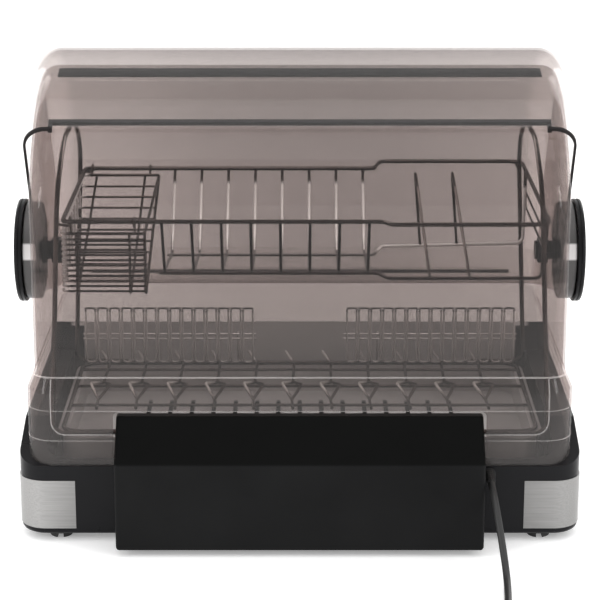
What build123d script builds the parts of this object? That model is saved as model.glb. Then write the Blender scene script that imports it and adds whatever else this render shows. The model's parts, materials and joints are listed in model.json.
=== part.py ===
from build123d import *
import math
import os

os.makedirs("parts", exist_ok=True)

# Countertop dish sterilizer cabinet: a black base, a fixed clear shell, a clear lid that swings back on two side
# pivots, wire racks, a pull-out drip tray and a heater and fan box at the back.
# Millimetres. +Z up, +Y to the back, front toward -Y. Origin on the table under the middle of the cabinet.

# ---------------------------------------------------------------- driving dimensions
base_hw = 285.5  # half width of the base
base_back, base_front = 180.0, -200.0
base_z0 = 7.0  # underside, above the feet
rear_rim_z, side_rim_z, front_rim_z = 81.0, 107.0, 134.0
base_r = 28.0  # vertical corner radius of the base
deck_z0, deck_z1 = 57.0, 61.0  # chamber floor
wall = 3.0

pivot_y, pivot_z = -10.0, 257.0
lid_r, lid_t, lid_hw, lid_fillet = 215.5, 2.5, 275.5, 24.0
lid_front, lid_bottom = -197.0, 167.0
lid_rear_angle = 49.1
lid_lobe_r = 44.0
shell_r, shell_t, shell_hw, shell_fillet = 206.0, 2.5, 268.0, 20.0
shell_back, shell_front = 170.0, -190.0
shell_roof_y, sill_z = 16.0, 212.0
shell_back_soft = 45.0  # radius of the soft bend between the rear wall and the roof arc
ledge_z, skirt_top_z, skirt_hw, skirt_r = 174.0, 157.0, 276.0, 28.0
skirt_back, skirt_front = 178.0, -198.0

box_hw, box_back, box_z0, box_z1 = 184.3, 222.0, 7.5, 97.0  # heater and fan box
box_slope_y, box_slope_z = 182.0, 135.0

hub_r, hub_x0, hub_x1 = 52.0, 276.0, 291.0
disc_r, disc_x0, disc_x1 = 55.0, 291.6, 300.0
pin_r = 10.0
pin_gap = 0.06  # radial running clearance of the lid on its pins

rack_z, rack_near, rack_far = 323.0, 130.0, -113.0
plate_pitch, plate_x0, plate_count = 29.76, 138.5, 8
arch_d, rim_d, wire_d, fine_d = 5.0, 4.5, 3.2, 2.4
low_z, low_near, low_far, low_hw = 98.0, 132.0, -118.0, 246.0
hook_pitch, hook_x0, hook_count = 41.8, 216.6, 11
comb_y, comb_z0, comb_z1 = -100.0, 101.5, 165.0
comb_pitch, comb_x0, comb_count = 13.65, 236.0, 14

tray_hw, tray_z0, tray_z1, tray_back = 200.0, 12.0, 50.0, 110.0
tray_travel = 240.0

panel_z, panel_hw = 92.0, 110.0
fascia_slope = 0.29  # the front rim falls toward the user
knob_x, power_x, uv_x, lens_x = 70.0, -60.0, -25.0, 10.0

cord_d = 7.2
cord_exit = (-191.5, 180.0, 73.0)


# ---------------------------------------------------------------- helpers
def arc_point(r, angle):
    return (
        pivot_y + r * math.cos(math.radians(angle)),
        pivot_z + r * math.sin(math.radians(angle)),
    )


def wire_path(points, radius, close=False):
    """A path of straight runs with rounded corners."""
    with BuildLine() as ln:
        FilletPolyline(*points, radius=radius, close=close)
    return ln.line


def straight(a, b):
    with BuildLine() as ln:
        Line(a, b)
    return ln.line


def tube(path, d):
    """A round wire along a path, made apart and added later."""
    with BuildSketch(Plane(origin=path @ 0, z_dir=path % 0)) as sk:
        Circle(d / 2)
    return sweep(sections=sk.sketch, path=path, mode=Mode.PRIVATE)


def dome_face(radius, front, back, bottom, corner, angle_end):
    """Side profile of a dome shell: an arc about the pivot, a rounded corner and a straight front wall."""
    a0 = 180 - math.degrees(math.acos((pivot_y - front) / radius))
    p0 = arc_point(radius, a0)
    p1 = arc_point(radius, angle_end)
    with BuildSketch(Plane.YZ) as sk:
        with BuildLine():
            Line((front, bottom), p0)
            CenterArc((pivot_y, pivot_z), radius, a0, angle_end - a0)
            if back is None:
                Line(p1, (pivot_y, pivot_z))
                Line((pivot_y, pivot_z), (pivot_y, bottom))
                Line((pivot_y, bottom), (front, bottom))
            else:
                Line(p1, (back, bottom))
                Line((back, bottom), (front, bottom))
        make_face()
        fillet(sk.vertices().sort_by_distance(Vector(p0[0], p0[1], 0))[0], radius=corner)
        if back is not None:
            fillet(
                sk.vertices().sort_by_distance(Vector(p1[0], p1[1], 0))[0],
                radius=shell_back_soft - (206.0 - radius),
            )
    return sk.sketch


def profile_edges(part, hw, keep):
    """The edges of a profile's two end faces that keep() accepts, by the middle of the edge."""
    return [
        e for e in part.edges() if abs(abs((e @ 0.5).X) - hw) < 0.05 and keep(e @ 0.5)
    ]


def base_top_face():
    """The region above the base's rim, in side view."""
    with BuildSketch(Plane.YZ) as sk:
        with BuildLine():
            Polyline(
                (260, rear_rim_z),
                (178, rear_rim_z),
                (100, side_rim_z),
                (-128, side_rim_z),
                (-150, front_rim_z),
                (-260, front_rim_z - 110 * fascia_slope),
                (-260, 400),
                (260, 400),
                close=True,
            )
        make_face()
    return sk.sketch


top_region = base_top_face()

# ---------------------------------------------------------------- base
base_mid_y = (base_back + base_front) / 2
base_len = base_back - base_front
with BuildPart() as base_housing:
    with BuildSketch(Plane.XY.offset(base_z0)):
        with Locations((0, base_mid_y)):
            RectangleRounded(2 * base_hw, base_len, base_r)
    extrude(amount=front_rim_z - base_z0)
    fillet(base_housing.faces().sort_by(Axis.Z)[0].edges(), radius=5)
    # rim: low at the back, higher along the sides, highest over the front
    extrude(top_region, amount=300, both=True, mode=Mode.SUBTRACT)
    # chamber above the deck
    with BuildSketch(Plane.XY.offset(deck_z1)):
        with Locations((0, 8)):
            RectangleRounded(2 * 258, 316, 20)
    extrude(amount=120, mode=Mode.SUBTRACT)
    # space under the deck
    with BuildSketch(Plane.XY.offset(base_z0 + 2.5)):
        with Locations((0, base_mid_y)):
            RectangleRounded(2 * (base_hw - wall), base_len - 2 * wall, base_r - wall)
    extrude(amount=deck_z0 - base_z0 - 2.5, mode=Mode.SUBTRACT)
    with BuildSketch(Plane.XY.offset(base_z0 - 1)):
        with Locations((0, base_mid_y)):
            RectangleRounded(
                2 * (base_hw - wall) - 8, base_len - 2 * wall - 8, base_r - wall - 4
            )
    extrude(amount=6, mode=Mode.SUBTRACT)
    # hollow side walls and front fascia
    for sx in (-1, 1):
        with BuildSketch(Plane.XY.offset(deck_z0 - 1)):
            with Locations((sx * 270, -15)):
                Rectangle(18, 250)
        extrude(amount=side_rim_z - 3 - deck_z0, mode=Mode.SUBTRACT)
    with BuildSketch(Plane.YZ):
        with BuildLine():
            Polyline(
                (-196, deck_z0 - 1),
                (-152, deck_z0 - 1),
                (-152, front_rim_z - 2 * fascia_slope - 3.3),
                (-196, front_rim_z - 46 * fascia_slope - 3.3),
                close=True,
            )
        make_face()
    extrude(amount=264, both=True, mode=Mode.SUBTRACT)
    # drain slots in the deck
    with BuildSketch(Plane.XY.offset(deck_z0 - 1)):
        with GridLocations(24, 120, 15, 2):
            SlotOverall(70, 6, rotation=90)
    extrude(amount=8, mode=Mode.SUBTRACT)
    # drip tray mouth in the front wall
    with BuildSketch(Plane.XZ.offset(-base_front - 5)):
        with Locations((0, (13 + 53.5) / 2)):
            RectangleRounded(2 * 204.5, 40.5, 3)
    extrude(amount=10, mode=Mode.SUBTRACT)
    # holes for the timer shaft, the two buttons and the indicator
    with BuildSketch(Plane.XZ.offset(-base_front - 5)):
        with Locations((knob_x, panel_z)):
            Circle(3.6)
        with Locations((power_x, panel_z), (uv_x, panel_z)):
            Circle(8.0)
        with Locations((lens_x, panel_z)):
            Circle(3.0)
    extrude(amount=10, mode=Mode.SUBTRACT)
    # air mouth to the heater box and the cord hole in the rear wall
    with BuildSketch(Plane.XZ.offset(-base_back - 2)):
        with Locations((0, 35)):
            Rectangle(300, 36)
        with Locations((cord_exit[0], cord_exit[2])):
            Circle(4.5)
        with GridLocations(344, 28, 2, 2):
            with Locations((0, 34)):
                Circle(2.0)
    extrude(amount=12, mode=Mode.SUBTRACT)
    # bosses for the bottom screws
    with BuildSketch(Plane.XY.offset(base_z0 + 2.5)):
        with GridLocations(440, 290, 2, 2):
            Circle(6)
        with GridLocations(440, 290, 2, 2):
            Circle(1.75, mode=Mode.SUBTRACT)
    extrude(amount=deck_z0 - base_z0 - 1.5)
base_housing.part.label = "base_housing"

with BuildPart() as bottom_plate:
    with BuildSketch(Plane.XY.offset(base_z0)):
        with Locations((0, base_mid_y)):
            RectangleRounded(
                2 * (base_hw - wall) - 8.6,
                base_len - 2 * wall - 8.6,
                base_r - wall - 4.3,
            )
        with GridLocations(440, 290, 2, 2):
            Circle(2.0, mode=Mode.SUBTRACT)
        # air inlet slots under the fan
        with Locations((0, 120)):
            with GridLocations(10, 40, 18, 1):
                SlotOverall(40, 4, rotation=90, mode=Mode.SUBTRACT)
    extrude(amount=2.4)
bottom_plate.part.label = "bottom_plate"

with BuildPart() as bottom_screws:
    with BuildSketch(Plane.XY.offset(base_z0 - 1.8)):
        with GridLocations(440, 290, 2, 2):
            Circle(3.5)
    extrude(amount=1.8)
    with BuildSketch(Plane.XY.offset(base_z0)):
        with GridLocations(440, 290, 2, 2):
            Circle(1.75)
    extrude(amount=22)
    with BuildSketch(Plane.XY.offset(base_z0 - 1.8)):
        with GridLocations(440, 290, 2, 2):
            Rectangle(4.4, 0.9)
            Rectangle(0.9, 4.4)
    extrude(amount=0.9, mode=Mode.SUBTRACT)
bottom_screws.part.label = "bottom_screws"

with BuildPart() as feet:
    with BuildSketch(Plane.XY):
        with Locations((245, 160), (-245, 160), (245, -180), (-245, -180)):
            Circle(11.5)
    extrude(amount=base_z0)
    fillet(feet.faces().sort_by(Axis.Z)[0:4].edges(), radius=1.2)
    with BuildSketch(Plane.XY):
        with Locations((245, 160), (-245, 160), (245, -180), (-245, -180)):
            Rectangle(6, 26)
    extrude(amount=4.5, mode=Mode.SUBTRACT)
feet.part.label = "feet"


# satin steel plates wrapped round the base corners
def trim_plate(sx):
    with BuildPart() as p:
        with BuildSketch(Plane.XY.offset(14.0)):
            with Locations((0, base_mid_y)):
                RectangleRounded(2 * base_hw + 1.6, base_len + 1.6, base_r + 0.8)
                RectangleRounded(
                    2 * base_hw + 0.04, base_len + 0.04, base_r, mode=Mode.SUBTRACT
                )
        extrude(amount=51.5)
        with BuildSketch(Plane.XY.offset(0)):
            with Locations((sx * (base_hw - 28), base_mid_y)):
                Rectangle(60, base_len + 10)
        extrude(amount=120, mode=Mode.INTERSECT)
    return p


steel_trim_left = trim_plate(1)
steel_trim_left.part.label = "steel_trim_left"
steel_trim_right = trim_plate(-1)
steel_trim_right.part.label = "steel_trim_right"

# ---------------------------------------------------------------- fixed clear shell
outer_face = dome_face(shell_r, shell_front, shell_back, ledge_z, 60, 29.1)
inner_face = dome_face(
    shell_r - shell_t,
    shell_front + shell_t,
    shell_back - shell_t,
    ledge_z - 40,
    57.5,
    29.25,
)


def shell_edge(c):
    return c.Z > ledge_z + 1


with BuildPart() as shell_core:
    extrude(inner_face, amount=shell_hw - shell_t, both=True)
    fillet(
        profile_edges(
            shell_core.part, shell_hw - shell_t, lambda c: c.Z > ledge_z - 39
        ),
        radius=shell_fillet - shell_t,
    )

with BuildPart() as body_shell:
    extrude(outer_face, amount=shell_hw, both=True)
    fillet(
        profile_edges(body_shell.part, shell_hw, shell_edge), radius=shell_fillet
    )
    with BuildSketch(Plane.XY.offset(skirt_top_z)):
        with Locations((0, (skirt_back + skirt_front) / 2)):
            RectangleRounded(2 * skirt_hw, skirt_back - skirt_front, skirt_r)
    extrude(
        amount=ledge_z - skirt_top_z,
        taper=math.degrees(math.atan(8 / (ledge_z - skirt_top_z))),
    )
    with BuildSketch(Plane.XY.offset(60)):
        with Locations((0, (skirt_back + skirt_front) / 2)):
            RectangleRounded(2 * skirt_hw, skirt_back - skirt_front, skirt_r)
    extrude(amount=skirt_top_z - 60)
    add(shell_core.part, mode=Mode.SUBTRACT)
    with BuildSketch(Plane.XY.offset(skirt_top_z - 0.8)):
        with Locations((0, (skirt_back + skirt_front) / 2)):
            RectangleRounded(
                2 * skirt_hw - 5, skirt_back - skirt_front - 5, skirt_r - 2.5
            )
    extrude(
        amount=ledge_z - skirt_top_z,
        taper=math.degrees(math.atan(8 / (ledge_z - skirt_top_z))),
        mode=Mode.SUBTRACT,
    )
    with BuildSketch(Plane.XY.offset(50)):
        with Locations((0, (skirt_back + skirt_front) / 2)):
            RectangleRounded(
                2 * skirt_hw - 5, skirt_back - skirt_front - 5, skirt_r - 2.5
            )
    extrude(amount=skirt_top_z - 0.8 - 50, mode=Mode.SUBTRACT)
    # everything below the base's rim line is taken off
    with BuildSketch(Plane.YZ):
        with BuildLine():
            Polyline(
                (260, rear_rim_z),
                (178, rear_rim_z),
                (100, side_rim_z),
                (-128, side_rim_z),
                (-150, front_rim_z),
                (-260, front_rim_z - 110 * fascia_slope),
                (-260, 0),
                (260, 0),
                close=True,
            )
        make_face()
    extrude(amount=300, both=True, mode=Mode.SUBTRACT)
    # the open front above the sill
    with BuildSketch(Plane.YZ):
        with BuildLine():
            roof = arc_point(shell_r + 1, 82.8)
            Spline(
                (shell_roof_y, roof[1]),
                (-8, 410),
                (-62, 330),
                (-92, 262),
                (-140, 222),
                (-230, sill_z),
                tangents=((-0.35, -1), (-1, -0.02)),
            )
            Line((-230, sill_z), (-260, 480))
            Line((-260, 480), (shell_roof_y, 480))
            Line((shell_roof_y, 480), (shell_roof_y, roof[1]))
        make_face()
    extrude(amount=300, both=True, mode=Mode.SUBTRACT)
    # window for the hot air box in the back
    with BuildSketch(Plane.XZ.offset(-140)):
        with Locations((0, 100)):
            RectangleRounded(2 * (box_hw + 3.5), 2 * (box_slope_z + 3.5 - 100), 6)
    extrude(amount=-60, mode=Mode.SUBTRACT)
    # bosses that carry the pivots, outside and inside the side walls
    for sx in (-1, 1):
        with BuildSketch(Plane.YZ.offset(sx * (shell_hw - shell_t))):
            with Locations((pivot_y, pivot_z)):
                Circle(30)
        extrude(amount=sx * (shell_t + 4.0))
        with BuildSketch(Plane.YZ.offset(sx * (shell_hw - 20))):
            with Locations((pivot_y, pivot_z)):
                Circle(pin_r + 0.02)
        extrude(amount=sx * 40, mode=Mode.SUBTRACT)
body_shell.part.label = "body_shell"

with BuildPart() as shell_lip:
    with BuildSketch(Plane.YZ):
        with BuildLine():
            a_lo, a_hi = 76.1, 82.0
            r_hi, r_lo = shell_r - shell_t - 0.02, shell_r - shell_t - 2.0
            CenterArc((pivot_y, pivot_z), r_hi, a_lo, a_hi - a_lo)
            CenterArc((pivot_y, pivot_z), r_lo, a_lo, a_hi - a_lo)
            Line(arc_point(r_hi, a_lo), arc_point(r_lo, a_lo))
            Line(arc_point(r_hi, a_hi), arc_point(r_lo, a_hi))
        make_face()
    extrude(amount=shell_hw - shell_fillet, both=True)
shell_lip.part.label = "shell_lip"

# ---------------------------------------------------------------- lid
lid_a = arc_point(lid_r, lid_rear_angle)  # rear top edge in side view
# tangent from that edge to the lobe round the pivot
dy, dz = lid_a[0] - pivot_y, lid_a[1] - pivot_z
dist = math.hypot(dy, dz)
t_ang = math.atan2(dz, dy) - math.acos(lid_lobe_r / dist)
tan_rear = (
    pivot_y + lid_lobe_r * math.cos(t_ang),
    pivot_z + lid_lobe_r * math.sin(t_ang),
)
fy, fz = lid_front - pivot_y, lid_bottom - pivot_z
fdist = math.hypot(fy, fz)
f_ang = math.atan2(fz, fy) + math.acos(lid_lobe_r / fdist)
tan_front = (
    pivot_y + lid_lobe_r * math.cos(f_ang),
    pivot_z + lid_lobe_r * math.sin(f_ang),
)
run = ((lid_a[0] - tan_rear[0]), (lid_a[1] - tan_rear[1]))
run_len = math.hypot(*run)
far_rear = (lid_a[0] + run[0] / run_len * 60, lid_a[1] + run[1] / run_len * 60)


def lid_side_region():
    """Side view of what the lid keeps: ahead of its rear line, above its lower line, and the lobe round the pin."""
    with BuildSketch(Plane.YZ) as sk:
        with BuildLine():
            Polyline(
                tan_rear,
                far_rear,
                (far_rear[0], 520),
                (-260, 520),
                (-260, lid_bottom),
                (lid_front, lid_bottom),
                tan_front,
                (pivot_y, pivot_z),
                close=True,
            )
        make_face()
        with Locations((pivot_y, pivot_z)):
            Circle(lid_lobe_r)
    return sk.sketch


lid_outer = dome_face(lid_r, lid_front, None, lid_bottom - 5, 60, 30)
lid_inner = dome_face(lid_r - lid_t, lid_front + lid_t, None, lid_bottom - 40, 57.5, 25)


def lid_keep(c):
    return (
        math.hypot(c.Y - pivot_y, c.Z - pivot_z) > 195 or c.Y < lid_front + 12
    ) and c.Z > lid_bottom - 30


def widened(face_hw, face, radius, keep_test):
    with BuildPart() as p:
        extrude(face, amount=face_hw, both=True)
        fillet(profile_edges(p.part, face_hw, keep_test), radius=radius)
    return p.part


lid_outer_solid = widened(lid_hw, lid_outer, lid_fillet, lid_keep)
lid_inner_solid = widened(lid_hw - lid_t, lid_inner, lid_fillet - lid_t, lid_keep)
side_region = lid_side_region()

with BuildPart() as lid:
    add(lid_outer_solid)
    # the side panels reach down round the pins
    for sx in (-1, 1):
        with BuildSketch(Plane.YZ.offset(sx * (lid_hw - lid_t))):
            with Locations((pivot_y, pivot_z)):
                Circle(lid_lobe_r)
            with BuildLine():
                Polyline(
                    tan_rear,
                    (lid_a[0] - 4, lid_a[1] - 40),
                    (pivot_y, pivot_z + 120),
                    (pivot_y, pivot_z),
                    close=True,
                )
            make_face()
        extrude(amount=sx * lid_t)
    add(lid_inner_solid, mode=Mode.SUBTRACT)
    with BuildSketch(Plane.YZ):
        with BuildLine():
            Polyline(
                (pivot_y - 1, lid_bottom - 60),
                (pivot_y - 1, pivot_z + 160),
                (lid_a[0] + 10, pivot_z + 160),
                (lid_a[0] + 60, pivot_z - 40),
                close=True,
            )
        make_face()
    extrude(amount=lid_hw - lid_t, both=True, mode=Mode.SUBTRACT)
    extrude(side_region, amount=300, both=True, mode=Mode.INTERSECT)
    with BuildSketch(Plane.YZ.offset(-300)):
        with Locations((pivot_y, pivot_z)):
            Circle(pin_r + pin_gap)
    extrude(amount=600, mode=Mode.SUBTRACT)
lid.part.label = "lid"

# black edging along the lid's side edges and rear corners, and a strip inside the lid just above its rear edge
edging = 3.4
seal_inner_face = dome_face(
    lid_r - edging, lid_front + edging, None, lid_bottom - 40, 56.6, 25
)
seal_inner_solid = widened(
    lid_hw - 2.6, seal_inner_face, lid_fillet - 2.6, lid_keep
)
run_u = (run[0] / run_len, run[1] / run_len)  # up along the rear line
run_n = (run_u[1], -run_u[0])  # square to it, to the rear
strip_lo, strip_hi = lid_rear_angle + 1.5, lid_rear_angle + 3.1
strip_r0, strip_r1 = lid_r - lid_t - 2.9, lid_r - lid_t - 0.05


def off_rear_line(t, n):
    """A side-view point t along the rear line from its low end and n behind it."""
    return (
        tan_rear[0] + run_u[0] * t + run_n[0] * n,
        tan_rear[1] + run_u[1] * t + run_n[1] * n,
    )


def on_rear_line(r, n):
    """The side-view point n behind the rear line and r from the pivot."""
    return off_rear_line(math.sqrt(r**2 - (lid_lobe_r + n) ** 2), n)


with BuildPart() as lid_seal:
    add(lid_outer_solid)
    for sx in (-1, 1):
        with BuildSketch(Plane.YZ.offset(sx * (lid_hw - 2.6))):
            with BuildLine():
                Polyline(
                    off_rear_line(14, 0.05),
                    off_rear_line(14, 2.2),
                    off_rear_line(170, 2.2),
                    off_rear_line(170, 0.05),
                    close=True,
                )
            make_face()
        extrude(amount=sx * 2.6)
    add(seal_inner_solid, mode=Mode.SUBTRACT)
    with BuildSketch(Plane.YZ):
        with BuildLine():
            Polyline(
                off_rear_line(14, 0.05),
                off_rear_line(14, 2.2),
                off_rear_line(260, 2.2),
                off_rear_line(260, 0.05),
                close=True,
            )
        make_face()
    extrude(amount=300, both=True, mode=Mode.INTERSECT)
    with BuildSketch(Plane.YZ):
        with BuildLine():
            Polyline(
                off_rear_line(-20, -1),
                off_rear_line(-20, 5),
                off_rear_line(150, 5),
                off_rear_line(150, -1),
                close=True,
            )
        make_face()
    extrude(amount=lid_hw - 2.6, both=True, mode=Mode.SUBTRACT)
    with BuildSketch(Plane.YZ):
        with BuildLine():
            Polyline(
                off_rear_line(100, -1),
                off_rear_line(100, 5),
                off_rear_line(280, 5),
                off_rear_line(280, -1),
                close=True,
            )
        make_face()
    extrude(amount=245, both=True, mode=Mode.SUBTRACT)
    with BuildSketch(Plane.YZ):
        with BuildLine():
            CenterArc((pivot_y, pivot_z), strip_r1, strip_lo, strip_hi - strip_lo)
            CenterArc((pivot_y, pivot_z), strip_r0, strip_lo, strip_hi - strip_lo)
            Line(arc_point(strip_r1, strip_lo), arc_point(strip_r0, strip_lo))
            Line(arc_point(strip_r1, strip_hi), arc_point(strip_r0, strip_hi))
        make_face()
    extrude(amount=249, both=True)
    # short legs that join the strip to the edging
    for sx in (-1, 1):
        with BuildSketch(Plane.YZ.offset(sx * 245)):
            with BuildLine():
                Polyline(
                    arc_point(strip_r0, strip_lo + 0.4),
                    arc_point(strip_r1, strip_lo + 0.4),
                    on_rear_line(strip_r1, 2.2),
                    on_rear_line(strip_r0, 2.2),
                    close=True,
                )
            make_face()
        extrude(amount=sx * 4)
lid_seal.part.label = "lid_seal"

# clear finger lip along the lid's lower front edge
with BuildPart() as lid_handle:
    with BuildSketch(Plane.YZ):
        with BuildLine():
            Polyline(
                (lid_front - 0.05, 182),
                (-213.5, 182),
                (-219, 176.5),
                (-219, 168),
                (-216.5, 168),
                (-216.5, 175.4),
                (-212.4, 179.5),
                (lid_front - 0.05, 179.5),
                close=True,
            )
        make_face()
    extrude(amount=245, both=True)
    fillet(lid_handle.edges().filter_by(Axis.Z).sort_by(Axis.Y)[0:2], radius=1.0)
lid_handle.part.label = "lid_handle"

# ---------------------------------------------------------------- pivots
pin_end, nut_x0 = 252.0, 255.0
hubs, discs, nuts = {}, {}, {}
for side, sx in (("left", 1), ("right", -1)):
    with BuildPart() as hub:
        with BuildSketch(Plane.YZ.offset(sx * hub_x0)):
            with Locations((pivot_y, pivot_z)):
                Circle(hub_r)
        extrude(amount=sx * (hub_x1 - hub_x0))
        fillet(hub.edges().filter_by(GeomType.CIRCLE), radius=1.5)
        with BuildSketch(Plane.YZ.offset(sx * hub_x0)):
            with Locations((pivot_y, pivot_z)):
                Circle(pin_r + pin_gap)
        extrude(amount=sx * (hub_x1 - hub_x0), mode=Mode.SUBTRACT)
        # a foot that seats the hub on the lid's side
        with BuildSketch(Plane.YZ.offset(sx * (lid_hw + 0.05))):
            with Locations((pivot_y, pivot_z)):
                Circle(38)
                Circle(pin_r + pin_gap, mode=Mode.SUBTRACT)
        extrude(amount=sx * 2.0)
    hub.part.label = f"pivot_hub_{side}"
    hubs[side] = hub
    with BuildPart() as disc:
        with BuildSketch(Plane.YZ.offset(sx * disc_x0)):
            with Locations((pivot_y, pivot_z)):
                Circle(disc_r)
        extrude(amount=sx * (disc_x1 - disc_x0))
        fillet(
            disc.faces().sort_by(Axis.X)[-1 if sx > 0 else 0].edges(), radius=2.6
        )
        fillet(
            disc.faces().sort_by(Axis.X)[0 if sx > 0 else -1].edges(), radius=1.0
        )
        # a groove round the rim and a shallow dish in the face
        with BuildSketch(Plane.YZ.offset(sx * (disc_x0 + 3.2))):
            with Locations((pivot_y, pivot_z)):
                Circle(disc_r + 2)
                Circle(disc_r - 1.2, mode=Mode.SUBTRACT)
        extrude(amount=sx * 1.4, mode=Mode.SUBTRACT)
        with BuildSketch(Plane.YZ.offset(sx * (disc_x1 - 1.0))):
            with Locations((pivot_y, pivot_z)):
                Circle(40)
        extrude(amount=sx * 4, mode=Mode.SUBTRACT)
        with BuildSketch(Plane.YZ.offset(sx * pin_end)):
            with Locations((pivot_y, pivot_z)):
                Circle(pin_r)
        extrude(amount=sx * (disc_x0 + 2 - pin_end))
    disc.part.label = f"pivot_disc_{side}"
    discs[side] = disc
    with BuildPart() as nut:
        with BuildSketch(Plane.YZ.offset(sx * nut_x0)):
            with Locations((pivot_y, pivot_z)):
                RegularPolygon(14.5, 6)
                Circle(pin_r + 0.02, mode=Mode.SUBTRACT)
        extrude(amount=sx * (shell_hw - shell_t - 0.1 - nut_x0))
    nut.part.label = f"pivot_nut_{side}"
    nuts[side] = nut

# ---------------------------------------------------------------- wire hoops and upper rack
arches = {}
peg_z = rack_z - rim_d / 2 - 1.5 - 0.05
foot_z = 94.4 + arch_d / 2
for side, sx in (("left", 1), ("right", -1)):
    hoop = tube(
        wire_path(
            [
                (sx * 196, 125, foot_z),
                (sx * 255, 125, foot_z),
                (sx * 243, 125, 350),
                (sx * 242, 55, 392),
                (sx * 242, -48, 392),
                (sx * 243, -118, 350),
                (sx * 255, -118, foot_z),
                (sx * 196, -118, foot_z),
            ],
            [12, 60, 80, 80, 60, 12],
        ),
        arch_d,
    )
    if sx > 0:
        pegs = [
            straight((244, 125, peg_z), (232, 131.5, peg_z)),
            straight((244, -118, peg_z), (232, -111.5, peg_z)),
        ]
    else:
        pegs = [
            straight((-244, 125, peg_z), (-244, 146, peg_z)),
            straight((-244, -118, peg_z), (-244, -154, peg_z)),
        ]
    peg_tubes = [tube(p, 3.0) for p in pegs]
    with BuildPart() as arch:
        add([hoop] + peg_tubes)
    arch.part.label = f"arch_{side}"
    arches[side] = arch

rim_under = rack_z - rim_d / 2 - 0.05
rim_loop = wire_path(
    [
        (238, rack_near, rack_z),
        (238, rack_far, rack_z),
        (-82, rack_far, rack_z),
        (-91, -150, rack_z),
        (-250, -150, rack_z),
        (-250, 142, rack_z),
        (-92, 142, rack_z),
        (-84, rack_near, rack_z),
    ],
    [8, 8, 6, 6, 16, 16, 5, 5],
    close=True,
)
side_hangers = [
    wire_path(
        [
            (-250, y0, rack_z - 1),
            (-250, y0 + 3, z),
            (-250, y1 - 3, z),
            (-250, y1, rack_z - 1),
        ],
        4,
    )
    for y0, y1, z in ((-112, 116, 300.0), (-98, 102, 284.0))
]
rim_tubes = [tube(rim_loop, rim_d)] + [tube(p, fine_d) for p in side_hangers]
with BuildPart() as upper_rack_frame:
    add(rim_tubes)
upper_rack_frame.part.label = "upper_rack_frame"

plate_bars = [
    wire_path(
        [
            (144, 93, 259.4),
            (-80, 93, 259.4),
            (-90, 113, 259.4),
            (-246, 113, 259.4),
            (-246.9, 112, rim_under),
        ],
        [5, 5, 8],
    ),
    wire_path(
        [
            (144, -35, 244.6),
            (-80, -35, 244.6),
            (-90, -62, 247),
            (-246, -76, 247),
            (-246.9, -78, rim_under),
        ],
        [5, 5, 8],
    ),
]
plate_tubes = [tube(p, 3.6) for p in plate_bars]
for k in range(plate_count):
    x = plate_x0 - plate_pitch * k
    plate_tubes.append(
        tube(
            wire_path(
                [
                    (x, rack_near, rim_under),
                    (x, 93, 262),
                    (x, -35, 247),
                    (x, rack_far, rim_under),
                ],
                6,
            ),
            wire_d,
        )
    )
with BuildPart() as plate_wires:
    add(plate_tubes)
plate_wires.part.label = "plate_wires"

cup_tubes = []
for x_low, x_top, y_far in ((-132.0, -123.5, -66.0), (-172.5, -163.0, -69.6)):
    cup_tubes.append(
        tube(
            wire_path(
                [
                    (x_low, y_far, 249.0),
                    (x_top, -28, 338),
                    (x_top - 1, 6, 329),
                    (x_low, 113, 261.3),
                ],
                [5, 8],
            ),
            wire_d,
        )
    )
with BuildPart() as cup_wires:
    add(cup_tubes)
cup_wires.part.label = "cup_wires"

# cutlery basket: level wires on the near side and one end, and a floor that slopes down toward the back
bk_x0, bk_x1, bk_far, bk_near = 156.0, 239.5, -106.0, 125.5
bk_ztop_far, bk_ztop_near, bk_zlow = 317.0, 309.5, 247.0
bk_slope = (bk_ztop_far - bk_zlow) / (bk_near - bk_far)
basket_tubes = [
    tube(
        wire_path(
            [
                (bk_x1, bk_near, bk_ztop_near),
                (bk_x1, bk_far, bk_ztop_far),
                (bk_x0, bk_far, bk_ztop_far),
                (bk_x0, bk_near, bk_ztop_near),
            ],
            5,
            close=True,
        ),
        wire_d,
    )
]
for k in range(11):
    z = 303.4 - 5.4 * k
    y_end = bk_far + (bk_ztop_far - z) / bk_slope
    basket_tubes.append(
        tube(
            wire_path(
                [
                    (bk_x0, bk_near, z),
                    (bk_x1, bk_near, z),
                    (bk_x1, min(y_end, bk_near - 8), z),
                ],
                4,
            ),
            fine_d,
        )
    )
for x in (bk_x0, 171.5, 225.0):
    basket_tubes.append(
        tube(
            wire_path(
                [
                    (x, bk_near - 1.6, bk_ztop_near),
                    (x, bk_near - 1.6, bk_zlow - 1.6),
                    (x, bk_far, bk_ztop_far - 1.6),
                ],
                3,
            ),
            wire_d if x == bk_x0 else 2.8,
        )
    )
for k in range(9):
    y = bk_far + 24 + 22 * k
    z = bk_ztop_far - (y - bk_far) * bk_slope
    basket_tubes.append(tube(straight((bk_x0, y, z), (bk_x1, y, z)), fine_d))
for k in range(6):
    y = 100 - 28 * k
    z0 = bk_ztop_far - (y - bk_far) * bk_slope - 0.5
    z1 = bk_ztop_near + (bk_near - y) / (bk_near - bk_far) * (bk_ztop_far - bk_ztop_near)
    basket_tubes.append(tube(straight((bk_x1 - 1.8, y, z0), (bk_x1 - 1.8, y, z1)), fine_d))
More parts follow.
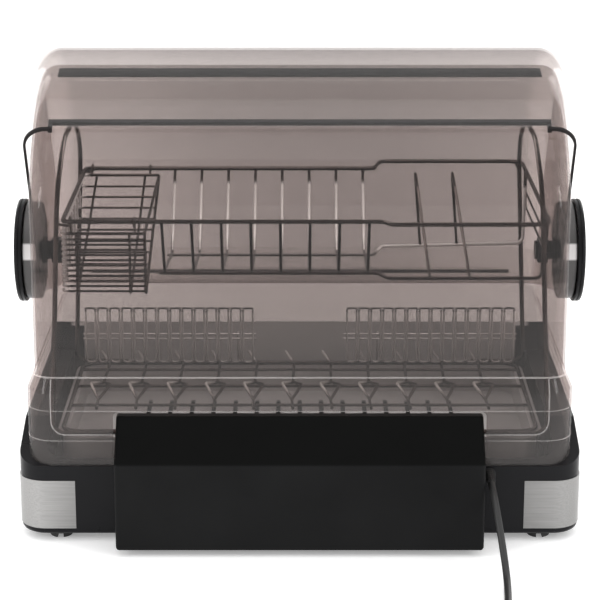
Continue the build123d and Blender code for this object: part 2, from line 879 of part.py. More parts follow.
# hooks over the rack's rims
for x in (166.0, 230.0):
    basket_tubes.append(
        tube(
            wire_path(
                [
                    (x, bk_near - 0.6, bk_ztop_near),
                    (x, bk_near - 0.6, rack_z + 3.9),
                    (x, rack_near + 3.9, rack_z + 3.9),
                    (x, rack_near + 3.9, rack_z - 4),
                ],
                2.6,
            ),
            fine_d,
        )
    )
    basket_tubes.append(
        tube(
            wire_path(
                [
                    (x, bk_far - 1, bk_ztop_far),
                    (x, bk_far - 1.5, rack_z + 4.1),
                    (x, rack_far - 4.1, rack_z + 4.1),
                    (x, rack_far - 4.1, rack_z - 4),
                ],
                2.6,
            ),
            fine_d,
        )
    )
with BuildPart() as cutlery_basket:
    add(basket_tubes)
cutlery_basket.part.label = "cutlery_basket"

# ---------------------------------------------------------------- lower rack, plate combs and tray
low_rim_z = 94.4 + rim_d / 2
low_y1, low_y0 = 119.0, -112.0
low_tubes = [
    tube(
        wire_path(
            [
                (low_hw, low_y1, low_rim_z),
                (low_hw, low_y0, low_rim_z),
                (-low_hw, low_y0, low_rim_z),
                (-low_hw, low_y1, low_rim_z),
            ],
            18,
            close=True,
        ),
        rim_d,
    )
]
bar_z = low_rim_z - 0.6
for y in (-88, -30, 34):
    low_tubes.append(tube(straight((-low_hw, y, bar_z), (low_hw, y, bar_z)), wire_d))
row_z = bar_z + 2.6
for k in range(hook_count):
    x = hook_x0 - hook_pitch * k
    low_tubes.append(
        tube(
            wire_path(
                [
                    (x + 9, -109, row_z + 13),
                    (x - 1, -103, row_z),
                    (x, -34, row_z),
                    (x + 12, -12, row_z + 7),
                    (x + 1, 22, row_z),
                    (x, 52, row_z),
                ],
                [4, 9, 9, 9],
            ),
            wire_d,
        )
    )
    low_tubes.append(
        tube(
            wire_path(
                [
                    (x, -36, row_z),
                    (x - 10, -10, row_z + 6),
                    (x + 1, 23, row_z),
                ],
                [9],
            ),
            wire_d,
        )
    )
with BuildPart() as lower_rack:
    add(low_tubes)
lower_rack.part.label = "lower_rack"

combs = {}
for side, sx, legs in (("left", 1, (70, 232)), ("right", -1, (-88, -232))):
    pieces = []
    for k in range(comb_count):
        x = sx * (comb_x0 - comb_pitch * k)
        pieces.append(
            tube(
                wire_path(
                    [
                        (x + 5.35, comb_y, comb_z1),
                        (x + 5.35, comb_y, comb_z0),
                        (x - 5.35, comb_y, comb_z0),
                        (x - 5.35, comb_y, comb_z1),
                    ],
                    [1.6, 4.4, 4.4, 1.6],
                    close=True,
                ),
                fine_d,
            )
        )
    xa, xb = sx * (comb_x0 + 9), sx * (comb_x0 - comb_pitch * 13 - 9)
    for z in (134.0, 128.5):
        pieces.append(
            tube(straight((xa, comb_y - 1.9, z), (xb, comb_y - 1.9, z)), fine_d)
        )
    for x in legs:
        pieces.append(
            tube(
                wire_path(
                    [
                        (x, comb_y - 1.9, 134),
                        (x, low_y0, 134),
                        (x, low_y0, low_rim_z + rim_d / 2 + 0.05),
                    ],
                    3,
                ),
                fine_d,
            )
        )
    with BuildPart() as comb:
        add(pieces)
    comb.part.label = f"plate_comb_{side}"
    combs[side] = comb

with BuildPart() as inner_tray:
    with BuildSketch(Plane.XY.offset(deck_z1 + 0.05)):
        with Locations((0, 3.5)):
            RectangleRounded(2 * 247, 241, 22)
    extrude(amount=94.3 - deck_z1 - 0.05)
    fillet(inner_tray.faces().sort_by(Axis.Z)[0].edges(), radius=6)
    with BuildSketch(Plane.XY.offset(92.3)):
        with Locations((0, 3.5)):
            RectangleRounded(2 * 252, 251, 26)
    extrude(amount=2.0)
    with BuildSketch(Plane.XY.offset(deck_z1 + 2.05)):
        with Locations((0, 3.5)):
            RectangleRounded(2 * 241, 229, 17)
    extrude(amount=60, mode=Mode.SUBTRACT)
    with BuildSketch(Plane.XY.offset(deck_z1 - 1)):
        with GridLocations(24, 100, 15, 2):
            SlotOverall(60, 5, rotation=90)
    extrude(amount=6, mode=Mode.SUBTRACT)
inner_tray.part.label = "inner_tray"

# ---------------------------------------------------------------- heater and fan box
slope_u = (box_back - box_slope_y, box_z1 - box_slope_z)
slope_len = math.hypot(*slope_u)
in_n = (slope_u[1] / slope_len * 2.5, -slope_u[0] / slope_len * 2.5)  # 2.5 inward
in_cut_y = 179.0


def slope_inner(y):
    t = (y - (box_slope_y + in_n[0])) / slope_u[0]
    return box_slope_z + in_n[1] + slope_u[1] * t


with BuildPart() as heater_housing:
    with BuildSketch(Plane.YZ):
        with BuildLine():
            Polyline(
                (172.1, box_slope_z),
                (box_slope_y, box_slope_z),
                (box_back, box_z1),
                (box_back, box_z0),
                (180.05, box_z0),
                (180.05, 82),
                (172.1, 84.5),
                close=True,
            )
        make_face()
    extrude(amount=box_hw, both=True)
    fillet(
        heater_housing.edges().filter_by(
            lambda e: abs(abs((e @ 0.5).X) - box_hw) < 0.01 and (e @ 0.5).Y > 184
        ),
        radius=3.5,
    )
    fillet(
        heater_housing.edges()
        .filter_by(Axis.X)
        .filter_by(lambda e: (e @ 0.5).Y > 181 and (e @ 0.5).Z > 20),
        radius=2.5,
    )
    with BuildSketch(Plane.YZ):
        with BuildLine():
            Polyline(
                (160, box_slope_z - 2.5),
                (box_slope_y - 1.0, box_slope_z - 2.5),
                (box_back - 2.5, slope_inner(box_back - 2.5)),
                (box_back - 2.5, box_z0 + 2.5),
                (160, box_z0 + 2.5),
                close=True,
            )
        make_face()
    extrude(amount=box_hw - 2.5, both=True, mode=Mode.SUBTRACT)
    # air inlet slots underneath
    with BuildSketch(Plane.XY.offset(box_z0 - 1)):
        with Locations((0, 201)):
            with GridLocations(9, 10, 21, 1):
                SlotOverall(24, 4, rotation=90)
    extrude(amount=6, mode=Mode.SUBTRACT)
    # screw posts
    for z in (20, 48):
        with BuildSketch(Plane.XZ.offset(-180.05)):
            with Locations((-172, z), (172, z)):
                Circle(4.5)
                Circle(1.7, mode=Mode.SUBTRACT)
        extrude(amount=-(box_back - 2 - 180.05))
heater_housing.part.label = "heater_housing"

with BuildPart() as housing_screws:
    for z in (20, 48):
        with BuildSketch(Plane.XZ.offset(-174.6)):
            with Locations((-172, z), (172, z)):
                Circle(3.5)
        extrude(amount=-2.35)
        with BuildSketch(Plane.XZ.offset(-174.6)):
            with Locations((-172, z), (172, z)):
                Circle(1.7)
        extrude(amount=-24)
        with BuildSketch(Plane.XZ.offset(-174.6)):
            with Locations((-172, z), (172, z)):
                Rectangle(4.4, 0.9)
                Rectangle(0.9, 4.4)
        extrude(amount=-1.0, mode=Mode.SUBTRACT)
housing_screws.part.label = "housing_screws"

fan_y, fan_z = 200.5, 32.0
with BuildPart() as fan_impeller:
    for x0, x1 in ((-97, -94), (-1.5, 1.5), (94, 97)):
        with BuildSketch(Plane.YZ.offset(x0)):
            with Locations((fan_y, fan_z)):
                Circle(17)
        extrude(amount=x1 - x0)
    with BuildSketch(Plane.YZ.offset(-94.5)):
        with Locations((fan_y, fan_z)):
            with PolarLocations(14.5, 18):
                Rectangle(4.4, 1.2, rotation=35)
    extrude(amount=189)
    with BuildSketch(Plane.YZ.offset(-108)):
        with Locations((fan_y, fan_z)):
            Circle(2.5)
    extrude(amount=228)
fan_impeller.part.label = "fan_impeller"

with BuildPart() as fan_motor:
    with BuildSketch(Plane.YZ.offset(104)):
        with Locations((fan_y, fan_z)):
            Circle(17)
    extrude(amount=34)
    fillet(fan_motor.edges().filter_by(GeomType.CIRCLE), radius=2)
    with BuildSketch(Plane.XY.offset(box_z0 + 2.55)):
        with Locations((121, fan_y)):
            Rectangle(26, 26)
    extrude(amount=12)
    with BuildSketch(Plane.YZ.offset(100)):
        with Locations((fan_y, fan_z)):
            Circle(2.55)
    extrude(amount=24, mode=Mode.SUBTRACT)
fan_motor.part.label = "fan_motor"

with BuildPart() as fan_bearing:
    with BuildSketch(Plane.YZ.offset(-106)):
        with Locations((fan_y, (box_z0 + 2.55 + 44) / 2)):
            Rectangle(22, 44 - box_z0 - 2.55)
        with Locations((fan_y, fan_z)):
            Circle(2.55, mode=Mode.SUBTRACT)
    extrude(amount=5)
    with BuildSketch(Plane.XY.offset(box_z0 + 2.55)):
        with Locations((-110, fan_y)):
            Rectangle(18, 22)
    extrude(amount=3)
fan_bearing.part.label = "fan_bearing"

with BuildPart() as heater_element:
    with BuildSketch(Plane.XY.offset(60)):
        with Locations((0, 201)):
            Rectangle(236, 22)
    extrude(amount=26)
    with BuildSketch(Plane.XZ.offset(-180)):
        with Locations((0, 73)):
            with GridLocations(3.6, 0, 62, 1):
                Rectangle(2.2, 20)
    extrude(amount=-50, mode=Mode.SUBTRACT)
heater_element.part.label = "heater_element"

with BuildPart() as heater_frame:
    with BuildSketch(Plane.XY.offset(57.9)):
        with Locations((0, (186 + 219.4) / 2)):
            Rectangle(246, 219.4 - 186)
        with Locations((0, 201)):
            Rectangle(230, 16, mode=Mode.SUBTRACT)
    extrude(amount=2.0)
    for x in (-121, 121):
        with BuildSketch(Plane.XY.offset(57.9)):
            with Locations((x, (186 + 219.4) / 2)):
                Rectangle(2.0, 219.4 - 186)
        extrude(amount=32)
heater_frame.part.label = "heater_frame"

with BuildPart() as thermostat:
    with BuildSketch(Plane.XY.offset(86.05)):
        with Locations((60, 199)):
            Circle(8)
    extrude(amount=7)
    with BuildSketch(Plane.XY.offset(93)):
        with Locations((57, 199), (63, 199)):
            Rectangle(1, 5)
    extrude(amount=6)
thermostat.part.label = "thermostat"

with BuildPart() as uv_lamp:
    with BuildSketch(Plane.YZ.offset(-125)):
        with Locations((187, 108)):
            Circle(7.75)
    extrude(amount=250)
    fillet(uv_lamp.edges().filter_by(GeomType.CIRCLE), radius=2)
    for x0, dx in ((-125, -4), (125, 4)):
        with BuildSketch(Plane.YZ.offset(x0)):
            with Locations((187, 105), (187, 111)):
                Circle(1.1)
        extrude(amount=dx)
uv_lamp.part.label = "uv_lamp"

with BuildPart() as lamp_holders:
    for sx in (-1, 1):
        with BuildSketch(Plane.YZ.offset(sx * 125.3)):
            with Locations(((172.15 + 196) / 2, 108)):
                Rectangle(196 - 172.15, 18)
            with Locations((187, 105), (187, 111)):
                Circle(1.15, mode=Mode.SUBTRACT)
        extrude(amount=sx * 9)
lamp_holders.part.label = "lamp_holders"

with BuildPart() as air_grille:
    with BuildSketch(Plane.XZ.offset(-169.2)):
        with Locations((0, 109)):
            RectangleRounded(360, 46, 4)
            with GridLocations(8.5, 0, 39, 1):
                SlotOverall(36, 4.2, rotation=90, mode=Mode.SUBTRACT)
    extrude(amount=-2.8)
air_grille.part.label = "air_grille"

with BuildPart() as terminal_block:
    with BuildSketch(Plane.XY.offset(box_z0 + 2.55)):
        with Locations((-146, 200)):
            Rectangle(34, 16)
    extrude(amount=14)
    with BuildSketch(Plane.XY.offset(box_z0 + 13)):
        with Locations((-146, 200)):
            with GridLocations(10, 0, 3, 1):
                Circle(3)
    extrude(amount=5, mode=Mode.SUBTRACT)
terminal_block.part.label = "terminal_block"

# ---------------------------------------------------------------- water tray
tray_mid = (base_front + 4 + tray_back) / 2
tray_len = tray_back - (base_front + 4)
with BuildPart() as drip_tray:
    with BuildSketch(Plane.XY.offset(13.9)):
        with Locations((0, tray_mid)):
            RectangleRounded(2 * tray_hw, tray_len, 10)
    extrude(amount=tray_z1 - 13.9)
    fillet(drip_tray.faces().sort_by(Axis.Z)[0].edges(), radius=4)
    with BuildSketch(Plane.XY.offset(15.9)):
        with Locations((0, tray_mid)):
            RectangleRounded(2 * tray_hw - 4, tray_len - 4, 8)
    extrude(amount=60, mode=Mode.SUBTRACT)
    # tabs that carry the front
    with BuildSketch(Plane.XZ.offset(-(base_front + 4))):
        with Locations((-120, 30), (120, 30)):
            Rectangle(40, 14)
    extrude(amount=3.95)
drip_tray.part.label = "drip_tray"

with BuildPart() as tray_front:
    with BuildSketch(Plane.XZ.offset(200.0)):
        with Locations((0, 33.2)):
            RectangleRounded(2 * 203.8, 39.0, 2.5)
    extrude(amount=6)
    with BuildSketch(Plane.YZ):
        with BuildLine():
            Polyline(
                (-205.9, 46),
                (-205.9, 51.5),
                (-219, 51.5),
                (-222, 48.5),
                (-222, 40),
                (-219.5, 40),
                (-219.5, 45),
                (-212, 46),
                close=True,
            )
        make_face()
    extrude(amount=70, both=True)
tray_front.part.label = "tray_front"

with BuildPart() as tray_rails:
    with BuildSketch(Plane.XY.offset(base_z0 + 2.45)):
        with Locations((-190, -38), (190, -38)):
            Rectangle(12, 300)
    extrude(amount=13.8 - base_z0 - 2.45)
    with BuildSketch(Plane.XY.offset(base_z0 + 2.45)):
        with Locations((-203.5, -38), (203.5, -38)):
            Rectangle(5, 300)
    extrude(amount=18)
    with BuildSketch(Plane.XY.offset(base_z0 + 2.45)):
        with Locations((-198, -38), (198, -38)):
            Rectangle(12, 300)
    extrude(amount=2.5)
tray_rails.part.label = "tray_rails"

# ---------------------------------------------------------------- controls
with BuildPart() as control_panel:
    with BuildSketch(Plane.XZ.offset(200.05)):
        with Locations((0, panel_z)):
            RectangleRounded(2 * panel_hw, 46, 8)
        with Locations((knob_x, panel_z)):
            Circle(3.06, mode=Mode.SUBTRACT)
        with Locations((power_x, panel_z), (uv_x, panel_z)):
            Circle(7.3, mode=Mode.SUBTRACT)
        with Locations((lens_x, panel_z)):
            Circle(2.52, mode=Mode.SUBTRACT)
    extrude(amount=3)
    fillet(
        control_panel.faces().sort_by(Axis.Y)[0].outer_wire().edges(), radius=1
    )
control_panel.part.label = "control_panel"

with BuildPart() as timer_knob:
    with BuildSketch(Plane.XZ.offset(203.4)):
        with Locations((knob_x, panel_z)):
            Circle(20)
    extrude(amount=7)
    with BuildSketch(Plane.XZ.offset(203.4)):
        with Locations((knob_x, panel_z)):
            Circle(16)
    extrude(amount=16)
    fillet(timer_knob.faces().sort_by(Axis.Y)[0].edges(), radius=1.5)
    # grip flutes and a pointer groove
    with BuildSketch(Plane.XZ.offset(211.5)):
        with Locations((knob_x, panel_z)):
            with PolarLocations(16.8, 24):
                Circle(1.3)
    extrude(amount=12, mode=Mode.SUBTRACT)
    with BuildSketch(Plane.XZ.offset(218.6)):
        with Locations((knob_x, panel_z + 9)):
            Rectangle(1.6, 10)
    extrude(amount=4, mode=Mode.SUBTRACT)
    with BuildSketch(Plane.XZ.offset(186)):
        with Locations((knob_x, panel_z)):
            Circle(3)
    extrude(amount=18)
timer_knob.part.label = "timer_knob"

with BuildPart() as timer_unit:
    with BuildSketch(Plane.XZ.offset(172)):
        with Locations((knob_x, panel_z)):
            RectangleRounded(44, 44, 3)
    extrude(amount=23.9)
    with BuildSketch(Plane.XZ.offset(184)):
        with Locations((knob_x, panel_z)):
            Circle(3.06)
    extrude(amount=20, mode=Mode.SUBTRACT)
timer_unit.part.label = "timer_unit"


def push_button(x):
    with BuildPart() as b:
        with BuildSketch(Plane.XZ.offset(190.5)):
            with Locations((x, panel_z)):
                Circle(3)
        extrude(amount=8)
        with BuildSketch(Plane.XZ.offset(197.9)):
            with Locations((x, panel_z)):
                Circle(7.6)
        extrude(amount=1.8)
        with BuildSketch(Plane.XZ.offset(199.7)):
            with Locations((x, panel_z)):
                Circle(7.0)
        extrude(amount=6.3)
        fillet(b.faces().sort_by(Axis.Y)[0].edges(), radius=1)
    return b


power_button = push_button(power_x)
power_button.part.label = "power_button"
uv_button = push_button(uv_x)
uv_button.part.label = "uv_button"

with BuildPart() as indicator_lens:
    with BuildSketch(Plane.XZ.offset(194)):
        with Locations((lens_x, panel_z)):
            Circle(2.5)
    extrude(amount=11)
    fillet(indicator_lens.faces().sort_by(Axis.Y)[0].edges(), radius=1.6)
indicator_lens.part.label = "indicator_lens"

with BuildPart() as control_board:
    with BuildSketch(Plane.XZ.offset(181)):
        with Locations((-35, panel_z)):
            Rectangle(130, 46)
    extrude(amount=1.6)
    with BuildSketch(Plane.XZ.offset(182.5)):
        with Locations((power_x, panel_z), (uv_x, panel_z)):
            Rectangle(6.2, 6.2)
    extrude(amount=4.8)
    with BuildSketch(Plane.XZ.offset(165)):
        with Locations((-78, 101), (-20, 85)):
            Rectangle(18, 18)
    extrude(amount=16.1)
    with BuildSketch(Plane.XY.offset(56)):
        with Locations((-80, -181.8), (10, -181.8)):
            Rectangle(12, 3)
    extrude(amount=22)
control_board.part.label = "control_board"

# ---------------------------------------------------------------- mains lead
gland_tip_y = 206.0
with BuildPart() as cord_gland:
    with BuildSketch(Plane.XZ.offset(-176.5)):
        with Locations((cord_exit[0], cord_exit[2])):
            Circle(4.45)
    extrude(amount=-3.6)
    with BuildSketch(Plane.XZ.offset(-180.05)):
        with Locations((cord_exit[0], cord_exit[2])):
            Circle(6.6)
    extrude(amount=-2.5)
    with BuildSketch(Plane.XZ.offset(-182.5)):
        with Locations((cord_exit[0], cord_exit[2])):
            Circle(6.0)
    extrude(amount=-(gland_tip_y - 182.5), taper=4.5)
    # flex grooves
    for y in (186.5, 191, 195.5, 200):
        with BuildSketch(Plane.XZ.offset(-y)):
            with Locations((cord_exit[0], cord_exit[2])):
                Circle(8)
                Circle(4.0, mode=Mode.SUBTRACT)
        extrude(amount=-1.6, mode=Mode.SUBTRACT)
cord_gland.part.label = "cord_gland"

cord_points = [
    (cord_exit[0], gland_tip_y + 0.02, cord_exit[2]),
    (-192.3, 236.0, 67.5),
    (-197.0, 262.0, 38.5),
    (-201.0, 285.0, 9.0),
    (-199.5, 316.0, cord_d / 2 + 0.1),
    (-197.0, 345.0, cord_d / 2 + 0.1),
    (-195.5, 370.0, cord_d / 2 + 0.1),
    (-196.8, 392.0, cord_d / 2 + 0.1),
]


def cord_radii(points):
    vs = [Vector(*p) for p in points]
    out = []
    for a, b, c in zip(vs, vs[1:], vs[2:]):
        u, v = b - a, c - b
        turn = math.radians(u.get_angle(v))
        out.append(0.45 * min(u.length, v.length) / math.tan(turn / 2))
    return out


radii = cord_radii(cord_points)
print("cord radii", [round(r, 1) for r in radii])
cord_path = wire_path(cord_points, radii)
cord_length = sum(e.length for e in cord_path.edges())
cord_solid = tube(cord_path, cord_d)
with BuildPart() as mains_cord:
    add(cord_solid)
mains_cord.part.label = "mains_cord"
print(
    "cord length",
    round(cord_length, 1),
    "volume",
    round(mains_cord.part.volume, 1),
    "section x length",
    round(math.pi * cord_d**2 / 4 * cord_length, 1),
)

coil_x, coil_y, coil_r = -151.4, 412.0, 38.2
with BuildPart() as cord_coil:
    with BuildSketch(Plane.XZ.offset(-coil_y)) as coil_sk:
        with Locations((coil_x + coil_r, 7.4)):
            RectangleRounded(22, 14.8, 5)
    revolve(axis=Axis((coil_x, coil_y, 0), (0, 0, 1)), revolution_arc=360)
cord_coil.part.label = "cord_coil"

plug_x0, plug_y, plug_z = coil_x + 18.0, coil_y + 45.4, 9.0
with BuildPart() as mains_plug:
    with BuildSketch(Plane.YZ.offset(plug_x0)):
        with Locations((plug_y, plug_z)):
            Circle(4.2)
    extrude(amount=18, taper=-3)
    with BuildSketch(Plane.YZ.offset(plug_x0 + 18)):
        with Locations((plug_y, plug_z)):
            RectangleRounded(24, 17.6, 5)
    extrude(amount=30)
    fillet(mains_plug.faces().sort_by(Axis.X)[-1].edges(), radius=1.5)
mains_plug.part.label = "mains_plug"

with BuildPart() as plug_pins:
    with BuildSketch(Plane.YZ.offset(plug_x0 + 48.05)):
        with Locations((plug_y - 6.35, plug_z), (plug_y + 6.35, plug_z)):
            Rectangle(1.5, 6.3)
    extrude(amount=16)
    fillet(plug_pins.faces().sort_by(Axis.X)[-2:].edges(), radius=0.5)
plug_pins.part.label = "plug_pins"

# ---------------------------------------------------------------- write the pieces
pieces = [
    base_housing,
    bottom_plate,
    bottom_screws,
    feet,
    steel_trim_left,
    steel_trim_right,
    body_shell,
    shell_lip,
    lid,
    lid_seal,
    lid_handle,
    hubs["left"],
    hubs["right"],
    discs["left"],
    discs["right"],
    nuts["left"],
    nuts["right"],
    arches["left"],
    arches["right"],
    upper_rack_frame,
    plate_wires,
    cup_wires,
    cutlery_basket,
    lower_rack,
    combs["left"],
    combs["right"],
    inner_tray,
    heater_housing,
    housing_screws,
    fan_impeller,
    fan_motor,
    fan_bearing,
    heater_element,
    heater_frame,
    thermostat,
    uv_lamp,
    lamp_holders,
    air_grille,
    terminal_block,
    drip_tray,
    tray_front,
    tray_rails,
    control_panel,
    timer_knob,
    timer_unit,
    power_button,
    uv_button,
    indicator_lens,
    control_board,
    cord_gland,
    mains_cord,
    cord_coil,
    mains_plug,
    plug_pins,
]
for piece in pieces:
    export_step(piece.part, f"parts/{piece.part.label}.step")
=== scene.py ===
import json
import math

import bmesh
import bpy
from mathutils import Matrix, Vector


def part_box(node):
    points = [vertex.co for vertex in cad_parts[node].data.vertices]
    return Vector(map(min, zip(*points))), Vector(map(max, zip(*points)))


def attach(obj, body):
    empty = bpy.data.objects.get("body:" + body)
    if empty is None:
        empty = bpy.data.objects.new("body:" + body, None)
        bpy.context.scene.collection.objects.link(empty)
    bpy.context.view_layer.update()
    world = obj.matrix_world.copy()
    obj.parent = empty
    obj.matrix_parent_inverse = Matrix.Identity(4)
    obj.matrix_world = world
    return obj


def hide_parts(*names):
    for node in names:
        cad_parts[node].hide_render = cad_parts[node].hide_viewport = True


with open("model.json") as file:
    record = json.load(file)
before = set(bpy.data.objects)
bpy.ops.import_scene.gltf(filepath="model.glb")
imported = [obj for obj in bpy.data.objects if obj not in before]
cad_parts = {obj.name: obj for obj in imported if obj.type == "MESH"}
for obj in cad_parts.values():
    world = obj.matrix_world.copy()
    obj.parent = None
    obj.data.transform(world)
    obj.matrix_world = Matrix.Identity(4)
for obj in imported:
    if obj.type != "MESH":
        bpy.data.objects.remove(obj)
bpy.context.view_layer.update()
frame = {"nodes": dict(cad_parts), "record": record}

nodes = frame["nodes"]
scene = bpy.context.scene


def mm(*p):
    """A point in metres from millimetres."""
    return tuple(v / 1000.0 for v in p)


# ------------------------------------------------------------------ camera
cam_data = bpy.data.cameras.new("camera")
cam_data.lens = 126.66
cam_data.sensor_width = 36.0
cam_data.clip_end = 60.0
cam = bpy.data.objects.new("camera", cam_data)
cam.location = (-0.0002, 2.180, 0.837)
cam.rotation_euler = (math.radians(90.0 - 16.2), 0.0, math.radians(180.0))
scene.collection.objects.link(cam)
scene.camera = cam
scene.view_settings.view_transform = "Standard"
scene.view_settings.look = "None"


# ------------------------------------------------------------------ materials
def new_mat(name):
    m = bpy.data.materials.new(name)
    m.use_nodes = True
    nt = m.node_tree
    nt.nodes.clear()
    out = nt.nodes.new("ShaderNodeOutputMaterial")
    return m, nt, out


def node(nt, kind, **values):
    n = nt.nodes.new(kind)
    for key, value in values.items():
        if key.startswith("in_"):
            label = key[3:].replace("_", " ")
            n.inputs[label].default_value = value
        else:
            setattr(n, key, value)
    return n


def noise(nt, scale, detail=3.0, stretch=(1, 1, 1), rough=0.5):
    """Noise in the object's own metres; stretch scales the axes."""
    tc = nt.nodes.new("ShaderNodeTexCoord")
    mp = nt.nodes.new("ShaderNodeMapping")
    mp.inputs["Scale"].default_value = stretch
    nt.links.new(tc.outputs["Object"], mp.inputs["Vector"])
    n = nt.nodes.new("ShaderNodeTexNoise")
    n.inputs["Scale"].default_value = scale
    n.inputs["Detail"].default_value = detail
    n.inputs["Roughness"].default_value = rough
    nt.links.new(mp.outputs["Vector"], n.inputs["Vector"])
    return n.outputs["Fac"]


def ramp(nt, fac, stops):
    r = nt.nodes.new("ShaderNodeValToRGB")
    els = r.color_ramp.elements
    while len(els) < len(stops):
        els.new(0.5)
    for e, (pos, col) in zip(els, stops):
        e.position = pos
        e.color = (*col, 1.0) if len(col) == 3 else col
    nt.links.new(fac, r.inputs["Fac"])
    return r.outputs["Color"]


def bump(nt, height, strength, distance):
    b = nt.nodes.new("ShaderNodeBump")
    b.inputs["Strength"].default_value = strength
    b.inputs["Distance"].default_value = distance
    nt.links.new(height, b.inputs["Height"])
    return b.outputs["Normal"]


def remap(nt, fac, lo, hi):
    r = nt.nodes.new("ShaderNodeMapRange")
    r.inputs["To Min"].default_value = lo
    r.inputs["To Max"].default_value = hi
    nt.links.new(fac, r.inputs["Value"])
    return r.outputs["Result"]


def solid(
    name,
    color,
    rough=0.5,
    metal=0.0,
    spec=0.5,
    coat=0.0,
    coat_rough=0.05,
    vary=0.12,
    grain=600.0,
    grain_depth=0.00004,
    rough_vary=0.08,
    stretch=(1, 1, 1),
):
    """A plastic, rubber or metal with slight colour and gloss variation and a fine surface grain."""
    m, nt, out = new_mat(name)
    p = nt.nodes.new("ShaderNodeBsdfPrincipled")
    p.inputs["Metallic"].default_value = metal
    p.inputs["Specular IOR Level"].default_value = spec
    p.inputs["Coat Weight"].default_value = coat
    p.inputs["Coat Roughness"].default_value = coat_rough
    dark = tuple(max(0.0, c * (1 - vary)) for c in color)
    light = tuple(min(1.0, c * (1 + vary)) for c in color)
    nt.links.new(
        ramp(nt, noise(nt, 14.0, 4.0), [(0.3, dark), (0.7, light)]),
        p.inputs["Base Color"],
    )
    fine = noise(nt, grain, 2.0, stretch)
    nt.links.new(
        remap(nt, noise(nt, 40.0, 3.0, stretch), max(0.02, rough - rough_vary), rough + rough_vary),
        p.inputs["Roughness"],
    )
    nt.links.new(bump(nt, fine, 0.5, grain_depth), p.inputs["Normal"])
    nt.links.new(p.outputs["BSDF"], out.inputs["Surface"])
    return m


def along(nt, axis, lo, hi):
    """0 to 1 between two places on one of the object's own axes, in metres."""
    tc = nt.nodes.new("ShaderNodeTexCoord")
    sep = nt.nodes.new("ShaderNodeSeparateXYZ")
    nt.links.new(tc.outputs["Object"], sep.inputs["Vector"])
    r = nt.nodes.new("ShaderNodeMapRange")
    r.inputs["From Min"].default_value = lo
    r.inputs["From Max"].default_value = hi
    nt.links.new(sep.outputs[axis], r.inputs["Value"])
    return r.outputs["Result"]


def clear_plastic(name, tint, haze=0.01, haze_color=(0.5, 0.48, 0.47), edge=0.26, thin=None, low_haze=None, front=None):
    """Smoky clear plastic: tinted see-through with a mirror gloss that grows toward grazing angles, and with painted
    light in the tint, which is lighter toward both ends and on one side.
    """
    m, nt, out = new_mat(name)
    tr = nt.nodes.new("ShaderNodeBsdfTransparent")
    # painted light: the tint is lighter toward both ends, where the side walls catch the light, and lighter on one side
    # than the other
    shades = [(0.0, 1.28), (0.025, 1.25), (0.045, 1.05), (0.14, 1.035), (0.33, 1.0), (0.5, 1.0), (0.66, 1.02), (0.84, 1.08), (0.955, 1.1), (0.975, 1.25), (1.0, 1.28)]
    stops = [(at, tuple(c * k for c in tint)) for at, k in shades]
    smoke_and_painted_light = ramp(nt, along(nt, "X", -0.28, 0.28), stops)
    if front:
        # the low front wall is paler, and almost clear where the lid covers it
        low = ramp(nt, along(nt, "Z", 0.16, 0.20), front)
        fm = nt.nodes.new("ShaderNodeMixRGB")
        nt.links.new(along(nt, "Y", -0.17, -0.12), fm.inputs["Fac"])
        nt.links.new(low, fm.inputs["Color1"])
        nt.links.new(smoke_and_painted_light, fm.inputs["Color2"])
        smoke_and_painted_light = fm.outputs["Color"]
    if thin:
        # the part that lies over another wall is moulded thinner and paler
        mx = nt.nodes.new("ShaderNodeMixRGB")
        mx.inputs["Color2"].default_value = (*thin, 1.0)
        nt.links.new(along(nt, "Y", -0.07, 0.03), mx.inputs["Fac"])
        nt.links.new(smoke_and_painted_light, mx.inputs["Color1"])
        smoke_and_painted_light = mx.outputs["Color"]
    nt.links.new(smoke_and_painted_light, tr.inputs["Color"])
    gl = nt.nodes.new("ShaderNodeBsdfGlossy")
    gl.inputs["Roughness"].default_value = 0.04
    gl.inputs["Color"].default_value = (0.95, 0.95, 0.95, 1.0)
    df = nt.nodes.new("ShaderNodeBsdfDiffuse")
    df.inputs["Color"].default_value = (*haze_color, 1.0)
    lw = nt.nodes.new("ShaderNodeLayerWeight")
    lw.inputs["Blend"].default_value = 0.5
    pw = nt.nodes.new("ShaderNodeMath")
    pw.operation = "POWER"
    pw.inputs[1].default_value = 5.0
    nt.links.new(lw.outputs["Facing"], pw.inputs[0])
    mu = nt.nodes.new("ShaderNodeMath")
    mu.operation = "MULTIPLY_ADD"
    mu.inputs[1].default_value = edge
    mu.inputs[2].default_value = 0.012
    nt.links.new(pw.outputs[0], mu.inputs[0])
    body = nt.nodes.new("ShaderNodeMixShader")
    if low_haze:
        # fine scuffing and dried water low down, where racks and hands reach
        grey = ramp(nt, along(nt, "Z", 0.10, 0.30), [(at, (k, k, k)) for at, k in low_haze])
        nt.links.new(grey, body.inputs["Fac"])
    else:
        body.inputs["Fac"].default_value = haze
    nt.links.new(tr.outputs[0], body.inputs[1])
    nt.links.new(df.outputs[0], body.inputs[2])
    mix = nt.nodes.new("ShaderNodeMixShader")
    nt.links.new(mu.outputs[0], mix.inputs["Fac"])
    nt.links.new(body.outputs[0], mix.inputs[1])
    nt.links.new(gl.outputs[0], mix.inputs[2])
    wave = bump(nt, noise(nt, 9.0, 2.0), 0.25, 0.0012)
    nt.links.new(wave, gl.inputs["Normal"])
    nt.links.new(mix.outputs[0], out.inputs["Surface"])
    return m


